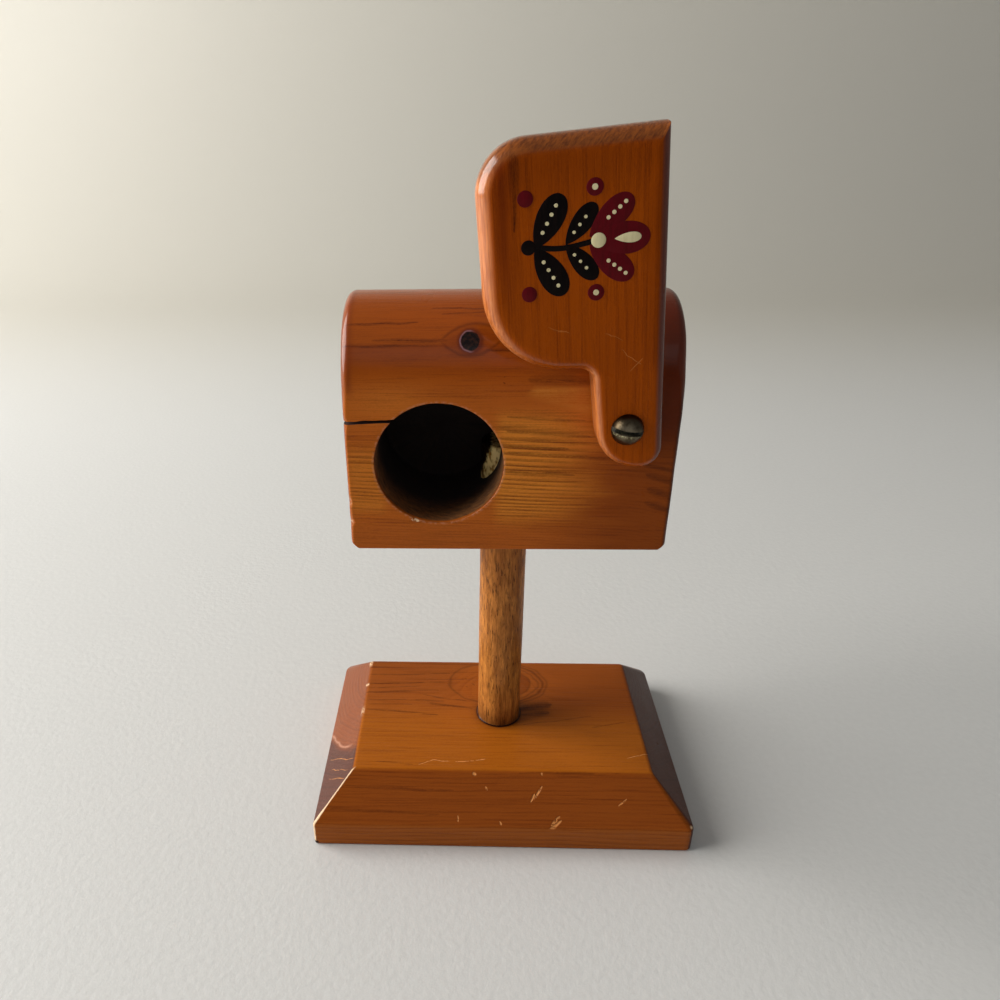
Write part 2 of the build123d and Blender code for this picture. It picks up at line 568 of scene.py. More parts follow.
def stroke(finish, place, start, end, width, solid):
    """Mask of a thin stroke from start to end, for a vector socket that holds a flat place.

    The share along the line is the dot product with its direction over its length squared, held
    between 0 and 1. The mask falls with the distance to the line's point at that share. solid is
    the share of the width that is at full strength: near 0 for grain, more for a scratch.
    """

    def vector_step(operation, output, *values):
        made = math_node(finish.tree, operation, *values, kind="ShaderNodeVectorMath")
        return made.outputs[output]

    run = (end[0] - start[0], end[1] - start[1], 0.0)
    length_squared = run[0] ** 2 + run[1] ** 2
    unit_run = tuple(step / length_squared for step in run)
    from_start = vector_step("SUBTRACT", "Vector", place, (*start, 0.0))
    along = vector_step("DOT_PRODUCT", "Value", from_start, unit_run)
    share = Field(finish.tree, along).clipped()
    scaled = math_node(finish.tree, "SCALE", run, kind="ShaderNodeVectorMath")
    finish.tree.links.new(share.socket, scaled.inputs["Scale"])
    nearest = scaled.outputs["Vector"]
    off = Field(finish.tree, vector_step("DISTANCE", "Value", from_start, nearest))
    taper = (share * (1 - share)).root().math("MULTIPLY_ADD", 1.4, 0.3)
    return (off / taper).step(width, width * solid)


def strokes(finish, across, up, lines, solid=0.3):
    """The strongest of several strokes, each given as its start, end and width."""
    place = finish.vector(across, up)
    drawn = stroke(finish, place, *lines[0], solid)
    for line in lines[1:]:
        drawn = drawn.either(stroke(finish, place, *line, solid))
    return drawn


# %% [markdown]
# ## The base
#
# A board of three-quarter inch pine with a 45 degree bevel sawn round its top. It could be a
# cube with a Bevel modifier, but the bevel's arrises are sanded rounder than its foot, and the
# corners behind are rounder than the one at the front left. So it is a profile carried round a
# rectangle: each row has an inset and a height, and the corner radius shrinks with the inset.

# %% Base sizes and profile
base_length = 109.2
base_width = 71.8
base_thickness = 19.05
base_bevel = 11.0
post_radius = 6.6
mortise_floor = 6.35
glue_bead = 0.22

profile = rounded_profile(
    [
        (2.5, 0.0),
        (0.0, 0.0),
        (0.0, base_thickness - base_bevel),
        (base_bevel, base_thickness),
        (base_bevel + 5.0, base_thickness),
    ],
    [0.6, 1.6, 2.2],
)
print("base profile rows:", len(profile))

# %% Build the base
half = np.array([base_length / 2, base_width / 2])
base_corners = half * np.array([(-1, -1), (1, -1), (1, 1), (-1, 1)])
corner_radii = np.array([0.7, 2.0, 3.2, 2.8])
inset = profile[:, :1] * np.ones(4)
shrink = np.clip(1 - 0.055 * profile[:, :1], 0.25, 1)
outer = rounded_outline(moved_in(base_corners, inset), corner_radii * shrink)
outer = raised(outer, profile[:, 1])

angle = np.arctan2(outer[-1, :, 1], outer[-1, :, 0])
circle = np.stack([np.cos(angle), np.sin(angle)], -1)
share = np.linspace(0, 1, 9)[1:, None, None]
foot_radius = post_radius + 1.3
across_top = (1 - share) * outer[-1:, :, :2] + share * foot_radius * circle
across_top = raised(across_top, np.full(len(across_top), base_thickness))

bead_profile = np.array(
    [
        (post_radius + 0.5, base_thickness + 0.01),
        (post_radius + 0.28, base_thickness + 0.3 * glue_bead),
        (post_radius + 0.12, base_thickness + glue_bead),
        (post_radius + 0.05, base_thickness + 0.8 * glue_bead),
        (post_radius + 0.05, mortise_floor),
        (0.0, mortise_floor),
    ]
)
bead = raised(bead_profile[:, None, :1] * circle, bead_profile[:, 1])
underside = outer[:1] * np.array([0.0, 0.5])[:, None, None]
base_rings = np.concatenate([underside, outer, across_top, bead])
base_mesh = close_mesh(ring_mesh("base_board", base_rings))

# %% [markdown]
# The board was sawn with the tree's middle above and behind it, so the front bevel shows close
# lines and the top wide ones. A branch comes up under the post. It lifts the rings into a hill,
# whose contour lines are the oval round the post's foot.

# %% Pine for the base: rings and the oval round the branch
finish = Finish("pine_base")
x, y, z = finish.place
sway = finish.wave(3.6, x * 0.014, y * 0.05, z * 0.05)
ripple = finish.wave(0.4, x * 0.07, y * 0.4, z * 0.4)
from_heart = apart(y - 25.0, z - 60.0)
branch_x = x - 0.5
branch_y = y - 14.0
rise = apart(branch_x / 12.73, branch_y / 7.92).bell(1.0)
rings = year_rings(finish, from_heart + sway + ripple + rise * 6.5, 1.12, 3.2)
streak = fibres(finish, x, y, z)
hairs = hairlines(finish, x, y, z)
on_top = finish.normal[2].step(0.6, 0.95)
on_ends = finish.normal[0].size().step(0.3, 0.62)
on_front = (finish.normal[1] * -1.0).step(0.25, 0.6)

oval = apart(branch_x / 16.3, branch_y / 10.6)
oval = oval + finish.wave(0.16, x * 0.2, y * 0.2, 1.0, 1.0)
right_of_post = x.step(4.0, 7.0)
inner_lines = (oval - 0.9).bell(0.035) * 0.6 + (oval - 0.8).bell(0.022) * 0.4
inner_lines = inner_lines + (oval - 0.66).bell(0.03) * 0.5
contours = (oval - 1.0).bell(0.03) * 0.4 + inner_lines * right_of_post
core = oval.step(0.72, 0.6) * right_of_post
inside_left = oval.step(1.0, 0.8) * (1 - right_of_post)

# %% Pine for the base: colours
finish.colour = finish.blend(y.step(-8.0, 8.0), (172, 94, 22), (160, 84, 26))
# Darker towards the right back: partly the wood's own tone, partly painted shade where the lamp's
# light falls off.
right_back_tone_and_shade = x.step(0.0, 26.0) * y.step(-10.0, 4.0)
finish.stain(right_back_tone_and_shade * 0.6, (132, 62, 14))
left_back = x.step(2.0, -16.0) * y.step(6.0, 14.0)
finish.stain(left_back * 0.3, (140, 70, 20))
finish.stain(inside_left * 0.25, amber_pine)
# Front faces painted darker, as shade; the upright front below the bevel is painted lighter again.
finish.stain(on_front * 0.75, (140, 66, 18))
finish.stain(on_front * z.step(8.8, 7.4) * 0.7, (176, 96, 34))
dark_figure = finish.noise(x * 0.025, y * 1.1, z * 0.6, 3.0, 0.55).step(0.52, 0.68)
left_third = x.step(4.0, -14.0) * y.step(0.0, 8.0)
strength = 0.16 + 0.16 * on_front + 0.22 * rise
darkness = rings * strength + streak * 0.8 + hairs * (0.18 + 0.16 * on_front)
darkness = darkness + dark_figure * left_third * 0.5
finish.stain(darkness, summer_wood)
finish.stain(contours * on_top * 0.8, deep_stain_and_shade)
finish.stain(core * on_top * 0.5, summer_wood)

bent_x, bent_y = shaken(finish, x, y, 0.07, 1.8, 4.0)
dark_lines = [
    ((-43.6, 8.8), (-20.0, 9.6), 0.7),
    ((-43.6, 10.9), (-26.0, 11.6), 0.5),
    ((-43.4, 5.2), (-17.5, 4.7), 0.8),
    ((-43.4, 3.0), (-28.0, 2.8), 0.5),
    ((-27.5, 4.8), (-8.6, 1.1), 0.8),
    ((-25.0, 7.4), (-10.4, 4.6), 0.6),
    ((-42.3, 0.4), (-19.2, -1.6), 0.8),
    ((-43.5, 13.0), (-18.0, 13.8), 0.6),
    ((-43.0, 17.6), (-16.0, 18.6), 0.6),
    ((7.5, -5.8), (18.9, -4.0), 0.55),
    ((18.0, -4.1), (29.7, -1.4), 0.45),
    ((29.0, -6.6), (41.5, -3.6), 0.42),
    ((-37.0, -22.0), (-26.0, -23.0), 0.6),
    ((5.0, -25.4), (34.0, -25.3), 0.5),
    ((-46.0, -28.4), (-14.0, -28.9), 0.5),
    ((-50.0, -33.2), (-18.0, -33.5), 0.5),
    ((-8.2, 13.9), (-7.2, 12.9), 0.5),
    ((-10.4, 16.5), (-9.8, 15.9), 0.45),
    ((-10.2, 12.2), (-9.6, 11.5), 0.5),
]
broken = finish.noise(x * 0.3, y * 1.5, z * 1.5, 3.0).step(0.28, 0.5)
drawn = strokes(finish, bent_x, bent_y, dark_lines, 0.0) * (broken + streak * 1.8)
finish.stain(drawn * (0.42 - 0.14 * on_front), (66, 26, 7))
# Painted shadow of the post on the top, just right of its foot, broken up like grain.
post_shadow_strokes = [((7.0, 1.0), (17.0, 3.6), 3.4), ((7.4, -1.6), (16.0, -0.2), 2.0)]
post_shadow = strokes(finish, bent_x, bent_y, post_shadow_strokes, 0.0)
finish.stain(post_shadow * (streak + 0.55), deep_stain_and_shade)
from_post = apart(x, y) - post_radius
glue = (from_post - 0.1).bell(0.5) + from_post.bell(2.0) * 0.35
finish.stain(glue * 0.9, (34, 11, 7))

# %% [markdown]
# End grain drinks the stain, so both short bevels are darker, with a painted dull reflection. On
# the left one the front is painted deep brown where the lamp's reflection ends, with a painted
# pale line along the curved edge between the two.

# %% Pine for the base: end grain and painted reflections
rings_on_end = rings * 0.25 + streak * 0.5
end_colour = finish.blend(rings_on_end + 0.2, (146, 76, 34), (78, 36, 18))
edge_wave = (finish.even_noise(0.25) - 0.5) * 3.0
# Where the lamp's reflection ends on the left bevel: a curved line, the front beyond it painted
# dark.
reflection_side = y + 8.4 + (x + 51.8) * 1.17 - (x + 48.5).squared() * 0.10 + edge_wave
in_reflection = reflection_side.step(-2.2, 1.6)
left_end = x.step(0.0, -1.0)
# Darker end grain with a painted dull reflection: the front of the left bevel and the whole right
# one.
dark_end_and_dull_reflection = finish.blend(rings_on_end + 0.3, (104, 58, 42), (52, 27, 20))
end_colour = finish.blend(1 - in_reflection * left_end, end_colour, dark_end_and_dull_reflection)
finish.stain(on_ends, end_colour)
# A painted pale line along the reflection's curved edge.
reflection_edge = (reflection_side - 1.2).bell(0.6) * x.step(-44.6, -47.5) * on_ends
finish.stain(reflection_edge * 0.4, (226, 170, 140))

# %% Pine for the base: scratches, worn arrises and painted highlights
bent_x, bent_y = shaken(finish, x, y, 0.35, 0.9, 9.0)
scratches = [
    ((-24.2, -22.9), (-20.2, -21.2), 0.26),
    ((-20.6, -21.2), (-15.4, -21.7), 0.34),
    ((-13.7, -21.9), (-8.0, -21.2), 0.32),
    ((-7.4, -21.0), (-4.7, -20.5), 0.3),
    ((11.6, -27.9), (9.4, -30.2), 0.4),
    ((9.6, -29.2), (8.2, -30.9), 0.42),
    ((16.6, -33.4), (14.0, -35.2), 0.5),
    ((16.9, -34.3), (12.4, -36.6), 0.5),
    ((35.8, -30.0), (33.3, -31.4), 0.26),
    ((-8.6, -25.5), (-7.4, -25.8), 0.5),
    ((-4.9, -28.2), (-4.2, -28.8), 0.4),
    ((-12.9, -33.9), (-12.7, -34.9), 0.4),
    ((-0.8, -34.8), (-0.3, -35.4), 0.5),
    ((37.4, -19.4), (44.2, -17.2), 0.22),
    ((-52.8, -12.6), (-44.4, -20.4), 0.17),
    ((-52.2, -17.6), (-45.6, -23.6), 0.14),
    ((-52.0, -21.2), (-46.2, -26.3), 0.2),
    ((11.4, -25.3), (11.9, -25.6), 0.4),
]
chipped = finish.even_noise(1.6, 3.0).step(0.3, 0.55)
marks = strokes(finish, bent_x, bent_y, scratches) * chipped
marks = marks * finish.normal[2].step(0.2, 0.5)
finish.stain(marks * 0.75, honey)
rough = (finish.even_noise(0.8) - 0.5) * 0.5
# Painted highlight: a thin bright line down the front-left mitre.
left_mitre = ((x + base_length / 2) - (y + base_width / 2)).size() + rough
left_mitre = left_mitre - x.step(-50.5, -53.5) * 0.25
mitre_highlight = left_mitre.step(0.42, 0.1) * x.step(-42.4, -43.4) * y.step(-24.0, -25.2)
finish.stain(mitre_highlight * 0.95, worn_wood_and_highlight)
back_arris = (x + 43.7).size().step(0.75, 0.3)
worn_spots = (y - 24.2).bell(1.4) + (y - 12.5).bell(0.5) + (y + 0.2).bell(1.6) * 0.5
worn_spots = worn_spots * back_arris * finish.even_noise(1.5).step(0.35, 0.5)
finish.stain(worn_spots * 0.9, worn_wood_and_highlight)
# Painted highlight on the front-right corner, where the side meets the bevel.
corner_highlight = apart(x - 54.0, y + 35.0, z - 8.8)
finish.stain(corner_highlight.step(0.9, 0.4) * 0.9, worn_wood_and_highlight)
# A dark spot at the front-left foot.
dark_foot_spot = apart(x + 54.0, y + 35.4, z - 0.8)
finish.stain(dark_foot_spot.step(1.1, 0.5), (20, 8, 5))

relief = rings * 0.03 + streak * 0.05 + hairs * -0.03 + marks * -0.2
pine_base = varnished(finish, relief, 0.30, on_ends * left_end * 0.3 + 0.08)
place_piece("base_board", base_mesh, [pine_base], "stand", "base")

# %% [markdown]
# ## The post
#
# A hardwood dowel, glued into the base below and the block above. A lathe shape suits it: a
# profile of radius against height, turned about the middle. Its top end shows inside the
# chamber, where no stain ever reached it, so one material carries both the stained shaft and
# the pale raw end, split by height.

# %% Build the post
housing_bottom = 90.15
tenon_top = 113.25
post_profile = rounded_profile(
    [
        (0.0, mortise_floor),
        (post_radius, mortise_floor),
        (post_radius, tenon_top),
        (0.0, tenon_top),
    ],
    [0.8, 0.8],
    4,
)
heights = np.linspace(mortise_floor + 1.0, tenon_top - 1.0, 120)
shaft = np.stack([np.full_like(heights, post_radius), heights], -1)
post_profile = np.concatenate([post_profile[:5], shaft, post_profile[5:]])
post_rings = lathe(post_profile)
seen_height = post_rings[..., 2:]
bow = 1 - 0.006 * (1 + wander(seen_height, 41.0, 2.0)) * (seen_height < housing_bottom)
post_rings = post_rings * np.concatenate([bow, bow, np.ones_like(bow)], -1)
post_mesh = close_mesh(ring_mesh("post_dowel", post_rings))

# %% Hardwood for the post
finish = Finish("dowel_wood")
x, y, z = finish.place
lean_x = x + z * 0.03
sway = finish.noise(z * 0.03, x * 0.25, y * 0.25) - 0.5
broad = finish.noise(lean_x * 0.55, y * 0.55, z * 0.04, 3.0, 0.55)
mottle = finish.noise(x * 0.5, y * 0.5, z * 0.16, 3.0, 0.6)
fine = finish.noise(lean_x * 2.2, y * 2.2, z * 0.2, 4.0, 0.7)
fleck = finish.noise(lean_x * 2.6 + sway * 2.0, y * 2.6, z * 0.34, 3.0, 0.6).step(0.56, 0.68)
finish.colour = finish.blend((broad - 0.3) * 1.5, (214, 138, 64), (138, 76, 28))
finish.stain((mottle - 0.42) * 1.6, (108, 52, 18))
finish.stain((fine - 0.42) * 2.2, (66, 29, 9))
finish.stain(fleck * 0.72, (36, 14, 5))
# Darker towards the foot.
low = z.step(27.0, base_thickness) * 0.5
finish.stain(low, deep_stain_and_shade)
# Painted shade on the post just under the block.
high = z.step(housing_bottom - 2.5, housing_bottom) * 0.5
finish.stain(high, deep_stain_and_shade)

# %% [markdown]
# Inside the chamber the post's side is bare and pale where light reaches it. Beyond a ragged
# slanting line it is painted dark, as the shadow of the chamber's rim.

# %% Bare wood at the post's top, and its painted shadow
raw_blotch = finish.noise(x * 0.7, y * 0.7, z * 0.4, 3.0).step(0.42, 0.62)
bare_wood_and_shadow = finish.blend(raw_blotch, (252, 220, 146), (158, 104, 40))
# Beyond a ragged slanting line the side is painted dark: the chamber rim's shadow.
rim_shadow_line = x + 6.9 - (z - 103.0) * 0.30 + finish.wave(2.0, x, y, z * 0.8, 3.0)
bare_wood_and_shadow = finish.blend(rim_shadow_line.step(0.4, -0.5), bare_wood_and_shadow, (26, 14, 6))
finish.stain(z.step(housing_bottom, housing_bottom + 1.0), bare_wood_and_shadow)
relief = fine * 0.10 + fleck * -0.10 + broad * 0.05
dowel_wood = varnished(finish, relief, 0.38, 0.15)
place_piece("post_dowel", post_mesh, [dowel_wood], "stand", "post")

# %% [markdown]
# ## The roll housing
#
# The letterbox block has a flat bottom, upright sides and a half-round top, and an inch and a
# quarter hole bored from the front, short of the back. A cube cut by a cylinder would do, but
# its edges would be knife sharp and alike. The whole block is one skin instead: rings start at
# the middle of the chamber's floor, run out along its wall, spread over the front face from
# the hole's circle to the block's outline, pass over the half-round and close on the back.

# %% Housing sizes
housing_half = 40.2
housing_radius = 19.05
round_centre = 133.2
front_edge = 0.9
roof_edge = 2.3
wider_from = 126.0
wider_to = 138.0
foot_edge = 0.45
foot_corner = 2.0
chamber_x = -17.35
chamber_z = 113.9
chamber_radius = 15.875
chamber_floor = 9.95


def easing_pull(depth, radius):
    """How far a rounded edge lies inside the sharp one at this depth below the surface:
    radius - sqrt(radius^2 - (radius - depth)^2), and nothing deeper than the radius."""
    short = np.clip(radius - depth, 0, radius)
    return radius - np.sqrt(np.clip(radius**2 - short**2, 0, None))


def end_edge_radius(height, seed):
    """Rounding round an end face: narrow up the sides and wide along the half-round, where the
    sandpaper rode over it, and uneven by up to a fifth."""
    up_the_roof = np.clip((height - wider_from) / (wider_to - wider_from), 0, 1)
    radius = front_edge + (roof_edge - front_edge) * up_the_roof**2 * (3 - 2 * up_the_roof)
    return radius * (1 + 0.2 * wander(height, 23.0, seed))


# %% Rings over the block's outside
swing = np.concatenate([np.arange(0, 26, 2.0), np.arange(28, 153, 4.0), np.arange(154, 181, 2.0)])
swing = np.radians(swing)
ring_y = -housing_radius * np.cos(swing)
roof = round_centre + housing_radius * np.sin(swing)
to_face = housing_radius - np.abs(ring_y)
floor_line = housing_bottom + easing_pull(to_face, foot_edge)

quarter = 1 - np.cos(np.linspace(0, np.pi / 2, 9))
middle = np.linspace(0, 1, 26)[1:-1]


def upright_run(low, high, low_reach, high_reach):
    """Heights from low to high, close together near both ends, where the edges are rounded."""
    first = low[:, None] + low_reach[:, None] * quarter
    last = high[:, None] - high_reach[:, None] * quarter[::-1]
    between = first[:, -1:] + (last[:, :1] - first[:, -1:]) * middle
    return np.concatenate([first, between, last], -1)


low_reach = np.full_like(swing, foot_corner + 0.2)
high_reach = np.clip(2.3 / np.maximum(np.sin(swing), 0.12), 2.3, 8.0)
heights = upright_run(floor_line, roof, low_reach, high_reach)
print("points up one side:", heights.shape[1])

# %% Pull the ends in where the edges are eased
depth_round = housing_radius - np.hypot(ring_y[:, None], heights - round_centre)
depth_flat = housing_radius - np.abs(ring_y)[:, None] + 0 * heights
side_depth = np.where(heights > round_centre, depth_round, depth_flat).clip(0)
foot_depth = (heights - floor_line[:, None]).clip(0)


def end_face(sign, seed):
    """x of an end face's points: the half length less the larger of two pulls, that of the
    rounded rim and that of the corner cut off along the foot."""
    side_pull = easing_pull(side_depth, end_edge_radius(heights, seed))
    cut = np.clip(foot_corner - foot_depth, 0, None)
    foot_pull = 0.6 * cut + 0.4 * easing_pull(foot_depth, foot_corner)
    nick = 0.0
    if sign < 0:
        front = (ring_y < 0)[:, None]
        nick = 0.5 * bell(heights - 103.8, 0.7) + 0.8 * bell(heights - 97.8, 0.6)
        nick = (nick + 0.4 * bell(heights - 124.9, 0.7)) * front * bell(side_depth, 1.0)
    return sign * (housing_half - np.maximum(side_pull, foot_pull) - nick)


right_side = np.stack([end_face(1, 1.0), ring_y[:, None] + 0 * heights, heights], -1)
left_side = np.stack([end_face(-1, 4.0), ring_y[:, None] + 0 * heights, heights], -1)[:, ::-1]
along = np.linspace(0, 1, 84)[1:-1, None]
bottom_run = left_side[:, -1:] + along * (right_side[:, :1] - left_side[:, -1:])
roof_run = right_side[:, -1:] + along * (left_side[:, :1] - right_side[:, -1:])
outside = np.concatenate([bottom_run, right_side, roof_run, left_side], 1)
print("rings over the outside:", outside.shape)

# %% Rings of the chamber and the front face
around = np.arctan2(outside[0, :, 2] - chamber_z, outside[0, :, 0] - chamber_x)
mouth_circle = np.stack([np.cos(around), 0 * around, np.sin(around)], -1)
chamber_centre = np.array([chamber_x, 0.0, chamber_z])


def chamber_ring(radius, y_place):
    """One ring of the bore: circle about the chamber's middle at depth y."""
    return chamber_centre + radius * mouth_circle + np.array([0.0, y_place, 0.0])


wall_y = np.linspace(chamber_floor - 0.6, -housing_radius + 0.9, 34)
scrape = 0.10 * wander(around[None] * 16 + wall_y[:, None] * 0.9, 9.0, 3.0)
scrape = scrape + 0.06 * wander(wall_y[:, None] + 0.6 * np.sin(around)[None] * 4, 2.6, 1.0)
wall = chamber_centre + (chamber_radius - 0.05 + scrape[..., None] * 0.6) * mouth_circle
wall[..., 1] = wall_y[:, None]
floor_rows = np.stack(
    [chamber_ring(r, chamber_floor) for r in (0.0, 4.0, 8.0, 12.0, 14.6, 15.3)]
    + [chamber_ring(15.7, chamber_floor - 0.2)]
)
splinter = 0.7 * bell(around + np.radians(112), 0.05) + 0.4 * bell(around + np.radians(103), 0.03)
splinter = splinter + 0.22 * np.clip(wander(around * 16, 7.0, 6.0) - 0.35, 0, 1)
lip = 0.3 + splinter[:, None] + 0.07 * wander(around * 16, 19.0, 2.0)[:, None]
lip_share = np.linspace(0, np.pi / 2, 6)[1:, None, None]
lip_rows = chamber_centre + (chamber_radius + lip * (1 - np.cos(lip_share))) * mouth_circle
lip_rows[..., 1] = -housing_radius + (lip * (1 - np.sin(lip_share)))[..., 0]
spread = np.array([0.04, 0.12, 0.24, 0.38, 0.52, 0.66, 0.78, 0.88, 0.95, 0.985])[:, None, None]
face_rows = (1 - spread) * lip_rows[-1:] + spread * outside[:1]
back_rows = outside[-1:] * 1.0
back_centre = np.array([0.0, housing_radius, 115.0])
shrinking = np.array([0.97, 0.8, 0.5, 0.0])[:, None, None]
back_rows = back_centre + shrinking * (outside[-1:] - back_centre)
housing_rings = np.concatenate([floor_rows, wall, lip_rows, face_rows, outside, back_rows])
in_chamber = np.arange(len(housing_rings) - 1) < len(floor_rows) + len(wall) - 1
housing_solid = close_mesh(ring_mesh("letterbox_block", housing_rings, in_chamber * 1))

# %% [markdown]
# The strip of stamps leaves through a saw cut from the left end into the chamber. A saw cuts
# through whatever is there, and so does a Boolean: a thin blade shape, a little wavy as a hand
# saw goes, is taken out of the block, and its faces bring their own material, painted dark as
# shade, with them.

# %% The saw's blade, and the cut
slot_width = 0.8
slot_height = 124.85
slot_rise = math.tan(math.radians(2.2))
slot_end = -27.85
blade_y = (-24.0, 24.0)
blade_x = np.linspace(-46.0, slot_end, 40)
blade_middle = slot_height + slot_rise * (blade_x + housing_half)
blade_middle = blade_middle + 0.10 * wander(blade_x, 11.0, 1.0)
blade_half = slot_width / 2 * (1 + 0.18 * wander(blade_x, 6.0, 5.0))
upper = np.stack([blade_x, blade_middle + blade_half], -1)
lower = np.stack([blade_x, blade_middle - blade_half], -1)[::-1]
blade_mesh = prism("saw_blade", np.concatenate([upper, lower]), blade_y)


def cut(mesh, cutter_mesh, materials, cutter_materials):
    """The mesh with the cutter's shape taken out. Both helper objects are removed again."""
    body = add_object("block", mesh)
    cutter = add_object("cutter", cutter_mesh)
    for material in materials:
        mesh.materials.append(material)
    for material in cutter_materials:
        cutter_mesh.materials.append(material)
    boolean = body.modifiers.new("cut", "BOOLEAN")
    boolean.operation = "DIFFERENCE"
    boolean.solver = "EXACT"
    boolean.material_mode = "TRANSFER"
    boolean.object = cutter
    bpy.context.view_layer.update()
    seen = body.evaluated_get(bpy.context.evaluated_depsgraph_get())
    result = bpy.data.meshes.new_from_object(seen)
    result.name = mesh.name + "_cut"
    for made in (body, cutter):
        bpy.data.objects.remove(made)
    smooth(result)
    print(f"{result.name}: {len(result.polygons)} faces after the cut")
    return result


# %% [markdown]
# ### Its pine
#
# The front face is cut so that gold and dark lines lie close together beside the hole and fade
# away from it, with a pale tongue where they turn. High on the half-round sits a small dark knot
# in an eye of bent rings. Marks on the roof need a flat coordinate to be drawn on, so the height
# goes on counting over the curve, as a tape measure laid over it would.

# %% Pine for the housing: coordinates and rings
finish = Finish("pine_housing")
x, y, z = finish.place
above = (z - round_centre).math("MAXIMUM", 0.0)
taped = z.math("MINIMUM", round_centre) + above.math("ARCTAN2", y * -1.0) * housing_radius
on_front = y.step(-18.2, -18.9)
near_side = y.step(6.0, 0.0)

sway = finish.wave(1.4, x * 0.01, y * 0.05, z * 0.05)
ripple = finish.wave(0.2, x * 0.05, y * 0.5, z * 0.5)
droop = (x - 27.0).math("MAXIMUM", 0.0).squared() * 0.012 * z.step(122.0, 108.0)
from_heart = apart(y - 20.0, z + droop + x * 0.05 - 131.0)
knot_x = x + 9.7
knot_up = taped - 144.5
rise = apart(knot_x / 8.49, knot_up / 4.24).bell(1.0) * near_side
rings = year_rings(finish, from_heart + sway + ripple + rise * 3.0, 0.56, 1.7)
streak = fibres(finish, x, y, z)
hairs = hairlines(finish, x, y, z, 3.0)

# %% Pine for the housing: tones
high = taped.step(126.0, 140.0)
finish.colour = finish.blend(high, (190, 98, 28), (168, 80, 15))
red_band = taped.step(134.0, 142.5) * taped.step(144.2, 143.2) * x.step(14.0, -8.0)
finish.stain(red_band * 0.55 * near_side, (132, 54, 8))
# Painted shadow of the cover's arm on the block's front, dark red, to its right and below.
cover_shadow_strip = x.step(30.0, 36.0) * z.step(106.0, 119.0) * near_side
finish.stain(cover_shadow_strip * 0.9, (92, 28, 8))
foot = z.step(100.0, 94.0)
finish.stain(foot * 0.6, (180, 92, 30))
tone_wave = finish.wave(24.0, x * 0.03, z * 0.25, 0.0, 3.0)
right_low = (x + tone_wave).step(2.0, 30.0) * z.step(126.0, 112.0)
finish.stain(right_low * 0.95, (142, 66, 13))
beside_hole = (x + tone_wave).step(26.0, 2.0) * x.step(-5.0, -1.0)
beside_hole = beside_hole * z.step(95.0, 103.0) * z.step(130.0, 123.0)
left_of_hole = x.step(-29.0, -33.0) * x.step(-41.0, -38.0)
left_of_hole = left_of_hole * z.step(99.0, 103.0) * z.step(121.0, 115.0)
golden = (beside_hole + left_of_hole * 0.6) * on_front
finish.stain(golden * 0.85, (226, 138, 46))
over_slot = apart((x + 29.0) / 9.49, (z - 130.0) / 4.24).bell(1.0)
finish.stain(over_slot * 0.5, (214, 122, 40))
strength = 0.10 + 0.16 * z.step(126.0, 118.0) + golden * 0.5
darkness = rings * strength + streak * 0.85 + hairs * 0.24
finish.stain(darkness, summer_wood)

# %% Pine for the housing: the tongue and single lines
tongue_low = 131.7 - (x - 2.4) * 0.31
tongue_high = ((x - 2.4) * 0.8 + 131.7).math("MINIMUM", 134.0)
tongue = (z - tongue_low).step(-0.9, 1.4) * (tongue_high - z).step(-0.5, 0.9) * x.step(2.0, 6.0)
tongue = tongue * x.step(33.0, 28.0) * on_front * (streak * 1.5 + 0.5)
finish.stain(tongue, (206, 122, 42))
bent_x, bent_z = shaken(finish, x, z, 0.07, 1.0, 5.0)
face_lines = [
    # The first, wide stroke is painted shadow just below the cover's lower edge.
    ((4.0, 135.6), (20.0, 135.0), 2.0),
    ((-1.0, 126.4), (17.5, 125.5), 0.7),
    ((-1.0, 122.6), (22.0, 121.3), 0.9),
    ((-0.5, 118.9), (14.0, 118.3), 0.7),
    ((-0.5, 117.3), (30.0, 115.5), 0.9),
    ((-1.0, 112.2), (16.0, 111.4), 0.7),
    ((33.4, 111.6), (40.5, 109.2), 1.4),
    ((34.2, 107.6), (40.5, 104.8), 1.8),
    ((33.8, 104.0), (40.5, 101.5), 1.4),
    ((31.0, 114.6), (40.5, 112.4), 1.0),
]
broken = finish.noise(x * 0.22, z * 1.6, 0.0, 3.0).step(0.25, 0.5)
drawn = strokes(finish, bent_x, bent_z, face_lines, 0.0) * (broken + streak * 1.5) * on_front
finish.stain(drawn * 0.42, (62, 22, 5))
pores = finish.noise(x * 0.8, z * 1.1, 4.0).step(0.68, 0.76) * z.step(128.0, 130.5)
pores = pores * z.step(138.0, 135.5) * x.step(-22.0, -16.0) * x.step(4.0, -2.0)
finish.stain(pores * 0.7, deep_stain_and_shade)

# %% Pine for the housing: the knot and its eye
bent_x, bent_taped = shaken(finish, x, taped, 0.14, 1.3, 8.0)
roof_lines = [
    ((-39.5, 148.6), (-22.0, 149.3), 0.6),
    ((-32.4, 144.8), (-15.2, 144.6), 0.9),
    ((-39.5, 143.4), (-16.0, 143.5), 0.7),
    ((-6.0, 142.5), (1.0, 142.3), 0.9),
    ((-18.8, 153.7), (-4.0, 153.6), 0.5),
    ((-16.5, 151.6), (-3.0, 152.7), 0.5),
    ((-29.3, 161.0), (-22.3, 162.2), 0.5),
]
drawn = strokes(finish, bent_x, bent_taped, roof_lines, 0.0) * near_side
upper_lid = knot_up - 4.4 + (knot_x - 1.4).squared() * 0.0616
lower_lid = -1.0 * knot_up - 3.5 + (knot_x + 0.1).squared() * 0.0714
outside_eye = upper_lid.either(lower_lid)
lid = outside_eye.bell(0.5) * knot_x.step(-8.4, -5.4) * knot_x.step(11.0, 7.5)
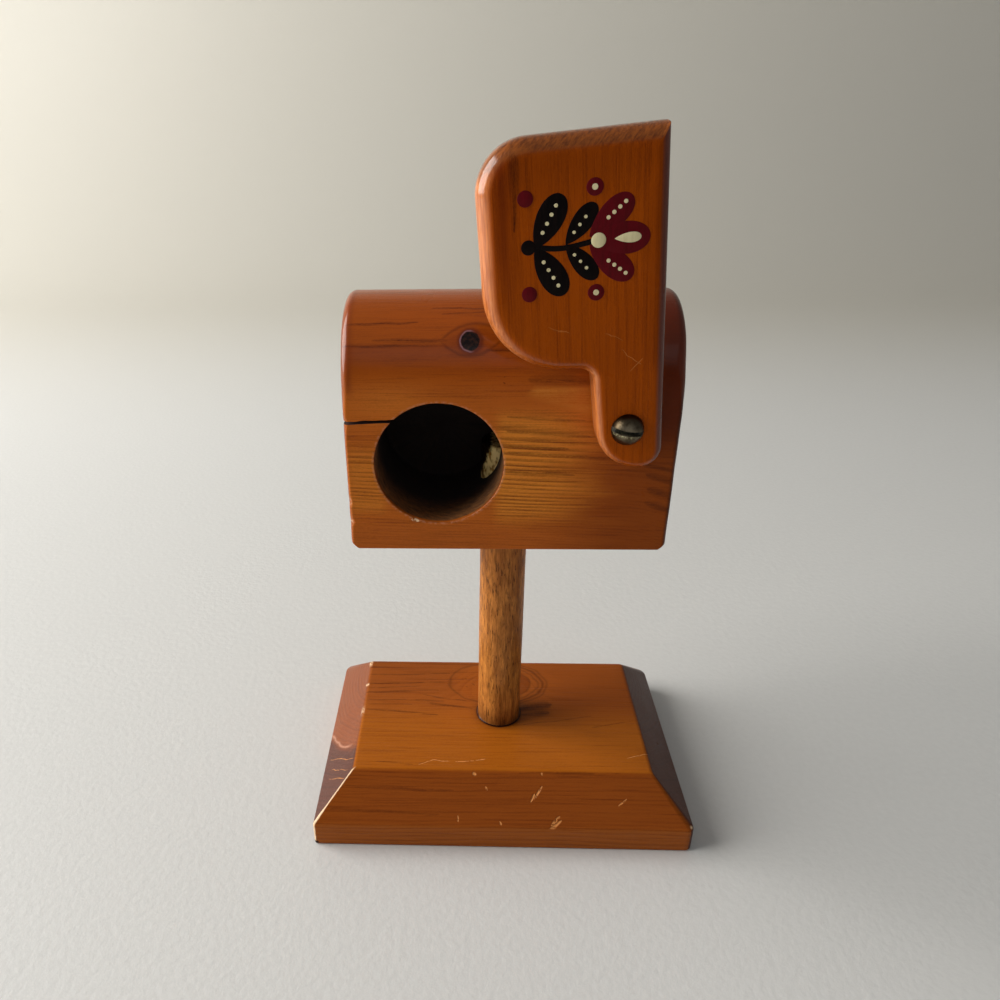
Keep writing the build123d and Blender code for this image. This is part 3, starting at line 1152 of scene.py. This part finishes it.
finish.stain((drawn * (0.45 + streak)).either(lid * 0.45) * near_side, (66, 22, 6))
finish.stain(outside_eye.step(0.4, -2.2) * 0.5 * near_side, (122, 50, 12))

off_knot = apart(knot_x, knot_up * 0.95)
off_knot = off_knot + finish.wave(0.5, x * 0.7, taped * 0.7, 3.0)
halo = off_knot.step(3.6, 2.5) * near_side
finish.stain(halo * 0.75, (88, 30, 14))
in_knot = off_knot.step(2.35, 2.05) * near_side
heart_spots = finish.noise(x * 1.1, taped * 1.1, 2.0, 3.0).step(0.4, 0.7)
finish.stain(in_knot, finish.blend(heart_spots, (18, 7, 6), (52, 30, 20)))
lit_rim = (off_knot - 2.4).bell(0.16) * knot_x.step(1.2, -0.6) * near_side
finish.stain(lit_rim * 0.55, (170, 140, 152))

# %% Pine for the housing: ends, edges and wear
end_x = x.size()
on_ends = finish.normal[0].size().step(0.45, 1.0)
end_dots = finish.noise(x * 0.3, y * 2.2, z * 2.2)
arcs = rings * 0.5 + end_dots * 0.7 - 0.1
end_colour = finish.blend(arcs, (142, 66, 24), (58, 22, 8))
finish.stain(on_ends * 0.85, end_colour)
red_rim = (x + 38.4).bell(1.0) * z.step(130.0, 135.0) * near_side
finish.stain(red_rim * 0.5, (104, 34, 14))
# Painted dark reflection along the right end's front edge.
right_edge_dark_reflection = end_x.step(38.9, 39.8) * x.step(0.0, 1.0) * on_front
finish.stain(right_edge_dark_reflection * 0.6, (34, 18, 8))
to_axis = apart(x - chamber_x, z - chamber_z)
chips = finish.noise(x * 1.1, y, z * 1.1, 3.0).step(0.4, 0.6)
# Pale chipped fibres and a painted highlight along the chamber's mouth.
lip_chips_and_highlight = (to_axis - chamber_radius - 0.3).bell(0.28) * y.step(-18.4, -18.9) * chips
finish.stain(lip_chips_and_highlight * 0.5, (206, 142, 104))
torn = strokes(finish, x, z, [((-24.4, 98.9), (-22.6, 98.4), 0.6)]) * chips
finish.stain(torn * on_front, worn_wood_and_highlight)
left_edge = x.step(-39.2, -39.9) * y.step(-15.0, -18.0)
nicked = (z - 103.8).bell(0.8) + (z - 97.9).bell(0.6) + (z - 124.9).bell(0.5) * 0.5
finish.stain(nicked * left_edge * chips * 0.6, worn_wood_and_highlight)

off_flat = 1 - finish.normal[1].size().step(0.9, 0.99)
relief = rings * strength * 0.05 + streak * 0.05 + hairs * -0.02 + in_knot * -0.06
pine_housing = varnished(finish, relief, 0.29, off_flat * 0.5 + 0.08)

# %% Bare wood of the chamber with painted shade deep inside, and the saw cut painted dark as shade
finish = Finish("chamber_wood")
x, y, z = finish.place
turn_angle = (z - chamber_z).math("ARCTAN2", x - chamber_x)
tool = finish.noise(turn_angle * 9.0 + y * 0.6, y * 0.7, 0.0, 4.0, 0.65)
blotch = finish.even_noise(0.25, 3.0)
painted_depth_shade = y.step(-19.0, -4.0)
finish.colour = finish.blend((tool - 0.36) * 2.4, (168, 104, 42), (34, 17, 7))
finish.stain(blotch * 0.6, (62, 36, 13))
# Painted shade: the bore grows nearly black towards its back.
finish.stain(painted_depth_shade * 0.95, (6, 2, 2))
chamber_wood = finish.dry(0.85, tool * 0.35)

finish = Finish("saw_cut_wood")
x, y, z = finish.place
# The saw cut's faces are painted dark, as shade inside the narrow cut.
kerf_shade = finish.noise(x * 0.5, y * 0.5, z * 2.0, 3.0)
finish.colour = finish.blend(kerf_shade, (30, 13, 7), (74, 36, 16))
saw_cut_wood = finish.dry(0.9, kerf_shade * 0.2)

housing_mesh = cut(housing_solid, blade_mesh, [pine_housing, chamber_wood], [saw_cut_wood])
place_piece("letterbox_block", housing_mesh, [], "stand", "roll_housing")
print("materials on the housing:", [m.name for m in housing_mesh.materials])

# %% [markdown]
# ## The swing cover
#
# A flag sawn from thin board, with its front edge rounded over by hand: wide along the top and
# the left, narrow round the arm. The outline moves in side by side, each side by its own
# rounding, while the surface comes forward: inset = w (1 - cos q), depth = w (1 - sin q).

# %% Cover outline and roundings
cover_thickness = 8.0
cover_front = -27.3
lean = math.radians(4.9)
pivot_x = 25.8
pivot_z = 126.45

cover_corners = np.array(
    [
        (-7.5, 14.3),
        (-6.2, -10.2),
        (8.2, -10.2),
        (8.2, 62.4),
        (-30.5, 62.2),
        (-30.5, 15.7),
    ]
)
cover_radii = np.array([3.0, 9.8, 4.9, 0.5, 10.9, 17.4])
side_rounding = np.array([2.1, 2.3, 2.9, 4.5, 4.3, 2.9])
arc_steps = 16
run_steps = 30


def per_point(side_values):
    """A value per side spread over the outline's points: it blends through each corner's arc."""
    last = np.roll(side_values, 1, axis=-1)[..., None]
    share = np.linspace(0, 1, arc_steps)
    on_arc = last + (side_values[..., None] - last) * share
    on_run = np.repeat(side_values[..., None], run_steps, axis=-1)
    return np.concatenate([on_arc, on_run], -1).reshape(*side_values.shape[:-1], -1)


def cover_outline(side_inset):
    """Outline after each side moved in: a corner's radius shrinks by the mean of its two insets,
    and at the neck, which is hollow, it grows by it."""
    mean = (side_inset + np.roll(side_inset, 1, axis=-1)) / 2
    hollow = np.array([1, 0, 0, 0, 0, 0])
    radii = np.where(hollow, cover_radii + mean, np.maximum(cover_radii - mean, 0.3))
    corners = np.broadcast_to(cover_corners, (*side_inset.shape[:-1], 6, 2))
    return rounded_outline(moved_in(corners, side_inset), radii, arc_steps, run_steps)


# %% Build the cover
q = np.radians(np.linspace(0, 90, 12))[:, None]
back_inset = np.array([1.4, 0.6, 0.2, 0.0])[:, None] * np.ones(6)
back_depth = np.array([0.0, 0.0, 0.25, 0.6])
rounding_inset = (1 - np.cos(q)) * side_rounding
face_inset = np.array([0.35, 1.2])[:, None] + side_rounding
points_rounding = per_point(side_rounding)
wall_share = np.linspace(0, 1, 5)[1:-1, None]
wall_depth = (cover_thickness - 0.6) * (1 - wall_share) + points_rounding * wall_share
edge_depth = (1 - np.sin(q)) * points_rounding
insets = np.concatenate([back_inset, 0 * wall_share * np.ones(6), rounding_inset, face_inset])
depths = np.concatenate(
    [
        (cover_thickness - back_depth)[:, None] * np.ones_like(points_rounding),
        wall_depth,
        edge_depth,
        np.zeros((2, len(points_rounding))),
    ]
)
flat = cover_outline(insets)


def on_cover(a, b, depth):
    """Cover's own plane to the frame: turned by the lean about the pivot, depth behind the face."""
    across, up = rotated(a, b, lean)
    return np.stack([pivot_x + across, cover_front + depth, pivot_z + up], -1)


cover_rings = on_cover(flat[..., 0], flat[..., 1], depths)
cover_solid = close_mesh(ring_mesh("flag_cover", cover_rings, caps=True))

bore_angle = np.linspace(0, 2 * np.pi, 48, endpoint=False)
bore_radius = 2.13
drill_y = (-30.0, -17.0)
bore_x = pivot_x + bore_radius * np.cos(bore_angle)
bore_z = pivot_z + bore_radius * np.sin(bore_angle)
drill = prism("drill", np.stack([bore_x, bore_z], -1), drill_y)

# %% [markdown]
# The cover's grain runs up the flag in fine even lines, with one dark streak beside the left
# edge. The pattern is written in the flag's own two directions, so it leans with the piece. The
# rounded edges differ: flecked end grain on top, a painted highlight along the left, and a
# painted dull, dark reflection on the right.

# %% Pine for the cover
finish = Finish("pine_cover")
x, y, z = finish.place
a, b = rotated(x - pivot_x, z - pivot_z, -lean)
normal_right, normal_up = rotated(finish.normal[0], finish.normal[2], -lean)
sway = finish.wave(3.4, b * 0.012, a * 0.05, y * 0.05)
ripple = finish.wave(0.25, b * 0.05, a * 0.4, y * 0.4)
from_heart = apart(y - 60.0, a + 46.0)
rings = year_rings(finish, from_heart + sway + ripple, 1.0, 5.4)
streak = fibres(finish, b, a, y)
hairs = hairlines(finish, b, a, y, 6.0)
cloud = finish.noise(a * 0.05, b * 0.03, y * 0.05)
finish.colour = finish.blend(cloud, (176, 80, 1), (158, 68, 1))
shaded = b.step(44.0, 58.0).either(a.step(1.0, 7.0) * b.step(10.0, 18.0))
finish.stain(shaded * 0.6, (134, 56, 1))
darkness = rings * 0.22 + streak * 0.75 + hairs * 0.18 + 0.03
finish.stain(darkness, (84, 28, 3))

bent_a, bent_b = shaken(finish, a, b, 0.06, 1.6, 2.0)
dark_streaks = [
    ((-21.8, 68.0), (-22.6, 51.0), 1.9),
    ((-22.5, 58.0), (-23.0, 45.0), 0.7),
]
drawn = strokes(finish, bent_a, bent_b, dark_streaks, 0.0)
finish.stain(drawn * (streak + 0.6), deep_stain_and_shade)
red_strip = (bent_a + 25.3).bell(1.5) * b.step(22.0, 44.0)
finish.stain(red_strip * 0.6, (96, 28, 3))
bent_a, bent_b = shaken(finish, a, b, 0.5, 1.0, 7.0)
fine_scratches = [
    ((-1.5, 18.6), (2.6, 14.8), 0.16),
    ((0.4, 13.6), (3.2, 16.4), 0.14),
    ((-4.8, 22.4), (-1.2, 20.6), 0.14),
    ((-17.0, 24.8), (-12.4, 23.2), 0.14),
]
marks = strokes(finish, bent_a, bent_b, fine_scratches)
finish.stain(marks * 0.28, honey)

# Painted highlight along the left rounding: pale fibres as the lamp lights them.
left_round = normal_right.step(-0.22, -0.62)
fibre_light = finish.noise(a * 1.8, b * 0.10, y * 1.8, 3.0, 0.65)
left_round_highlight = finish.blend((fibre_light - 0.36) * 2.4, (220, 134, 72), (140, 60, 22))
finish.stain(left_round * 0.85, left_round_highlight)
top_round = normal_up.step(0.2, 0.5)
flecks = finish.noise((a - b) * 1.5, (a + b) * 0.3, y * 0.8, 3.0, 0.6)
end_grain = finish.blend((flecks - 0.40) * 2.6, (146, 78, 24), (66, 27, 8))
finish.stain(top_round * 0.9, end_grain)
# Painted dull, dark reflection along the right rounding.
right_round = normal_right.step(0.25, 0.6) * (1 - top_round)
right_round_dull_reflection = finish.blend(streak + 0.4, (112, 62, 50), (78, 38, 32))
finish.stain(right_round * 0.85, right_round_dull_reflection)

off_flat = 1 - finish.normal[1].size().step(0.86, 0.98)
relief = rings * 0.02 + streak * 0.05 + hairs * -0.02 + top_round * flecks * 0.08 + marks * -0.05
shine = off_flat * (0.8 - right_round * 0.4) + 0.02
pine_cover = varnished(finish, relief, 0.27, shine)

cover_mesh = cut(cover_solid, drill, [pine_cover], [chamber_wood])
place_piece("flag_cover", cover_mesh, [], "cover", "swing_cover")

# %% [markdown]
# ## The wood screw
#
# A slotted round head in darkened steel. Its top is the lower of two surfaces: the dome, and
# in the slot the slot's flat floor. The grid's lines run along the slot, close together at its
# walls, so the walls stay crisp, and each line is as long as the head is wide there.

# %% Build the screw
head_seat = -27.4
head_radius = 3.7
head_height = 3.05
shank_radius = 2.08
core_radius = 1.75
screw_length = 31.75
slot_half = 0.47
slot_floor = head_height - 1.6
slot_tilt = math.radians(-7.0)
dome_radius = (head_radius**2 + head_height**2) / (2 * head_height)

wall_rows = np.concatenate([np.linspace(0.40, 0.70, 13), np.linspace(0.78, 3.0, 18)])
rim_rows = head_radius * np.sin(np.linspace(math.asin(3.1 / head_radius), np.pi / 2, 14))
half_rows = np.concatenate([np.linspace(0.0, 0.36, 5), wall_rows, rim_rows])
across = np.concatenate([-half_rows[:0:-1], half_rows])
reach = np.sqrt(np.clip(head_radius**2 - across**2, 0, None))
line_share = np.sin(np.linspace(-np.pi / 2, np.pi / 2, 61))
grid_a = reach[:, None] * line_share
grid_b = across[:, None] + 0 * line_share
radius_squared = np.clip(grid_a**2 + grid_b**2, 0, head_radius**2)
dome = np.sqrt(dome_radius**2 - radius_squared) - (dome_radius - head_height)
in_slot = np.clip((np.abs(grid_b) - (slot_half - 0.07)) / 0.14, 0, 1)
in_slot = in_slot * in_slot * (3 - 2 * in_slot)
floor_height = slot_floor + 0.05 * wander(grid_a, 2.3, 1.0)
top = np.where(floor_height < dome, floor_height + (dome - floor_height) * in_slot, dome)
print("screw dome rises", round(float(dome.max()), 2), "mm")


def screw_place(a_flat, b_flat, height):
    """Screw's own axes to the frame: turned by the slot's tilt, height out of the front."""
    across, up = rotated(a_flat, b_flat, slot_tilt)
    return np.stack([pivot_x + across, head_seat - height, pivot_z + up], -1)


# %% Join the head's top to the screw's shank
head_points = screw_place(grid_a, grid_b, top)
top_quads = quad_table(*grid_a.shape, closed=False)
rim_a = np.concatenate([grid_a[:, -1], grid_a[::-1, 0]])
rim_b = np.concatenate([grid_b[:, -1], grid_b[::-1, 0]])
rim_size = np.hypot(rim_a, rim_b)
shank_profile = np.array(
    [
        (head_radius, 0.0),
        (shank_radius, 0.0),
        (shank_radius, -11.0),
        (core_radius, -11.4),
        (core_radius, 5.0 - screw_length),
        (0.4, -screw_length),
        (0.0, -screw_length),
    ]
)
shank = screw_place(
    shank_profile[:, :1] * rim_a / rim_size,
    shank_profile[:, :1] * rim_b / rim_size,
    shank_profile[:, 1:] + 0 * rim_a,
)
shank_quads = quad_table(*shank.shape[:2], first=grid_a.size)
screw_points = np.concatenate([head_points.reshape(-1, 3), shank.reshape(-1, 3)]) * MM
screw_mesh = bpy.data.meshes.new("wood_screw")
screw_mesh.from_pydata(screw_points.tolist(), [], top_quads + shank_quads)
close_mesh(screw_mesh)

# %% Darkened steel
finish = Finish("screw_metal")
x, y, z = finish.place
from_x = x - pivot_x
from_z = z - pivot_z
slot_across = rotated(from_x, from_z, -slot_tilt)[1]
off_centre = apart(from_x, from_z)
patina = finish.even_noise(0.55, 4.0, 0.6)
grit = finish.even_noise(3.0, 3.0)
in_slot_mask = slot_across.size().step(0.62, 0.42)
# Darker towards the head's rim.
head_rim_dark = off_centre.step(2.9, 3.6)
worn_top = off_centre.step(3.4, 0.6) * patina.step(0.3, 0.62)
finish.colour = finish.blend(worn_top, (76, 64, 47), (150, 136, 112))
finish.stain(grit.step(0.5, 0.75) * 0.35, (50, 38, 24))
finish.stain(head_rim_dark * 0.8, (34, 24, 15))
grime = finish.blend(grit.step(0.45, 0.65), (12, 10, 6), (70, 66, 40))
finish.stain(in_slot_mask * 0.95, grime)
crumbs = (slot_across + 0.85).bell(0.3) * finish.noise(x * 2.2, 1.0, z * 2.2).step(0.52, 0.62)
finish.stain(crumbs * 0.8, (176, 178, 132))
finish.join("Metallic", 1 - in_slot_mask.either(crumbs) * 0.75)
relief = grit * 0.04 + patina * 0.08 + crumbs * 0.06
steel = finish.dry(patina * 0.28 + 0.2 + in_slot_mask * 0.3, relief)
place_piece("wood_screw", screw_mesh, [steel], "stand", "pivot_screw")

# %% [markdown]
# ## The painted ornament
#
# On the cover is a small painted sprig in black, dark red and cream: a tulip with leaves and
# berries, and rows of dots. Paint has a thickness, so every patch is a slab a few hundredths of
# a millimetre high whose rim is rounded, and it catches the light as brushed enamel does.

# %% Paint patches from outlines
ornament_a = -9.2
ornament_b = 41.3
paint_height = 0.06
layer_height = 0.03


def petal(start, angle, length, width, tip=0.8, points=48):
    """Teardrop: along = length (1 - cos q) / 2, across = width / 2 sin q |sin(q / 2)|^tip."""
    q = np.linspace(0, 2 * np.pi, points, endpoint=False)
    along = length * (1 - np.cos(q)) / 2
    across = width / 2 * np.sin(q) * np.abs(np.sin(q / 2)) ** tip
    right, up = rotated(along, across, math.radians(angle))
    return np.stack([start[0] + right, start[1] + up], -1)


def dot(centre, radius, points=28):
    """Round dab of paint."""
    q = np.linspace(0, 2 * np.pi, points, endpoint=False)
    return np.stack([centre[0] + radius * np.cos(q), centre[1] + radius * np.sin(q)], -1)


def band(path, width):
    """Stroke of even width along an open path: the path moved to both sides of itself."""
    path = np.asarray(path, float)
    ahead_of = np.gradient(path, axis=0)
    ahead_of = ahead_of / np.linalg.norm(ahead_of, axis=1, keepdims=True)
    side = np.stack([-ahead_of[:, 1], ahead_of[:, 0]], -1) * width / 2
    return np.concatenate([path + side, (path - side)[::-1]])


def paint_patches(name, outlines, material, layer=0):
    """One mesh of flat slabs of paint, each an outline swept out from the wood's surface."""
    low = 0.02 - layer * layer_height
    joined = bmesh.new()
    for count, outline in enumerate(outlines):
        high = -layer * layer_height - paint_height - 0.004 * count
        middle = outline.mean(0)
        rows = [(1.0, low), (1.0, 0.4 * high), (0.985, 0.8 * high), (0.955, high)]
        flat = np.stack([middle + scale * (outline - middle) for scale, _ in rows])
        depth = np.array([row[1] for row in rows])[:, None] + 0 * flat[..., 0]
        points = on_cover(ornament_a + flat[..., 0], ornament_b + flat[..., 1], depth)
        slab = ring_mesh("slab", points, caps=True)
        joined.from_mesh(slab)
        bpy.data.meshes.remove(slab)
    mesh = bpy.data.meshes.new(name)
    bmesh.ops.recalc_face_normals(joined, faces=joined.faces)
    joined.to_mesh(mesh)
    joined.free()
    smooth(mesh, math.radians(60))
    print(f"{name}: {len(outlines)} patches, {len(mesh.polygons)} faces")
    place_piece(name, mesh, [material], "cover")


def enamel(name, colour, worn):
    """Brush enamel: a flat colour that thins a little over the grain, with a soft shine."""
    made = Finish(name)
    x, y, z = made.place
    thin = made.noise(x * 1.2, y * 1.2, z * 0.25, 3.0).step(0.35, 0.75)
    made.colour = made.blend(thin * 0.5, colour, worn)
    made.join("Specular IOR Level", 0.08)
    return made.dry(thin * 0.15 + 0.34, thin * 0.02)


# %% Paint the sprig
black_enamel = enamel("black_enamel", (9, 4, 4), (26, 10, 6))
red_enamel = enamel("red_enamel", (98, 10, 20), (70, 12, 12))
cream_enamel = enamel("cream_enamel", (236, 224, 178), (208, 190, 136))

stem_x = np.linspace(-11.0, 3.0, 24)
stem = np.stack([stem_x, 0.5 * np.sin(stem_x * 0.35)], -1)
black_shapes = [
    band(stem, 1.1),
    petal((-9.8, 0.0), 60, 11.4, 6.6, 0.55),
    petal((-9.8, 0.0), -60, 11.4, 6.6, 0.55),
    petal((-3.6, 0.2), 50, 9.6, 5.0, 0.6),
    petal((-3.6, 0.2), -50, 9.6, 5.0, 0.6),
    dot((-11.2, 0.2), 1.5),
]
red_shapes = [
    petal((1.2, 1.2), 40, 11.2, 6.4, 0.6),
    petal((1.2, -0.4), -40, 11.2, 6.4, 0.6),
    petal((1.4, 0.4), 0, 12.0, 7.4, 0.5),
    dot((2.4, 10.6), 1.7),
    dot((2.4, -10.0), 1.7),
    dot((-11.4, 9.6), 1.6),
    dot((-11.4, -9.2), 1.6),
]
cream_shapes = [
    dot((3.0, 0.4), 1.5),
    petal((6.2, 0.4), 0, 5.4, 2.6),
    *[dot((5.0 + 1.15 * k, 4.6 + 0.92 * k), 0.42) for k in range(4)],
    *[dot((5.0 + 1.15 * k, -3.8 - 0.92 * k), 0.42) for k in range(4)],
    dot((2.4, 10.6), 0.6),
    dot((2.4, -10.0), 0.6),
    *[dot((-8.2 + 0.95 * k, 2.9 + 1.65 * k), 0.4) for k in range(4)],
    *[dot((-8.2 + 0.95 * k, -2.9 - 1.65 * k), 0.4) for k in range(4)],
    *[dot((-1.9 + 1.2 * k, 2.4 + 1.4 * k), 0.34) for k in range(3)],
    *[dot((-1.9 + 1.2 * k, -2.0 - 1.4 * k), 0.34) for k in range(3)],
]
paint_patches("ornament_black", black_shapes, black_enamel)
paint_patches("ornament_red", red_shapes, red_enamel, 1)
paint_patches("ornament_cream", cream_shapes, cream_enamel, 3)

# %% [markdown]
# ## Floor and light
#
# A plain pale sweep is flat below the object and curves up behind it, one surface worked out
# from a profile. The light comes from a wide soft lamp on the left, as from a large window. A
# weak lamp in front and a dim pale sky fill the shadows.

# %% Floor
floor_front = -1500
floor_back = 700
sweep_radius = 500
wall_top = 1800
flat_y = np.linspace(floor_front, floor_back, 12)
curve = np.radians(np.arange(5, 91, 5))
curve_y = floor_back + sweep_radius * np.sin(curve)
curve_z = sweep_radius * (1 - np.cos(curve))
sweep_y = np.concatenate([flat_y, curve_y, [floor_back + sweep_radius]])
sweep_z = np.concatenate([0 * flat_y, curve_z, [wall_top]])
grid_x, grid_y = np.meshgrid(np.linspace(-2000, 2000, 9), sweep_y)
floor_points = np.stack([grid_x, grid_y, np.broadcast_to(sweep_z[:, None], grid_x.shape)], -1)
floor_quads = quad_table(*grid_x.shape, closed=False)
floor_mesh = bpy.data.meshes.new("floor")
floor_mesh.from_pydata((floor_points.reshape(-1, 3) * MM).tolist(), [], floor_quads)
smooth(floor_mesh)
floor = add_object("floor", floor_mesh)

finish = Finish("pale_floor")
grain = finish.even_noise(0.5, 3.0)
far = finish.place[1].step(250.0, floor_back)
finish.colour = finish.blend(far, (222, 221, 217), (204, 199, 186))
finish.stain(grain * 0.4, (204, 203, 198))
floor_mesh.materials.append(finish.dry(0.55, grain * 0.10))

# %% Lamps and sky
def soft_lamp(name, place, width, height, power, colour):
    """Rectangular lamp at a place, aimed at the object, in metres and watts."""
    data = bpy.data.lights.new(name, "AREA")
    data.shape = "RECTANGLE"
    data.size = width
    data.size_y = height
    data.energy = power
    data.color = colour
    back = Vector(place) - lamp_aim
    facing = back.to_track_quat("Z", "Y").to_matrix().to_4x4()
    add_object(name, data).matrix_world = Matrix.Translation(place) @ facing


lamp_aim = Vector((0.0, 0.0, 0.08))
soft_lamp("window", (-1.37, 0.084, 0.70), 1.26, 1.26, power=39.0, colour=(1.0, 0.985, 0.96))
soft_lamp("front_fill", (0.2, -1.3, 0.9), 1.0, 0.8, power=0.6, colour=(0.97, 0.98, 1.0))
sky = bpy.data.worlds.new("sky")
bpy.context.scene.world = sky
sky.use_nodes = True
background = sky.node_tree.nodes["Background"]
background.inputs["Color"].default_value = (0.86, 0.89, 0.93, 1.0)
background.inputs["Strength"].default_value = 0.2
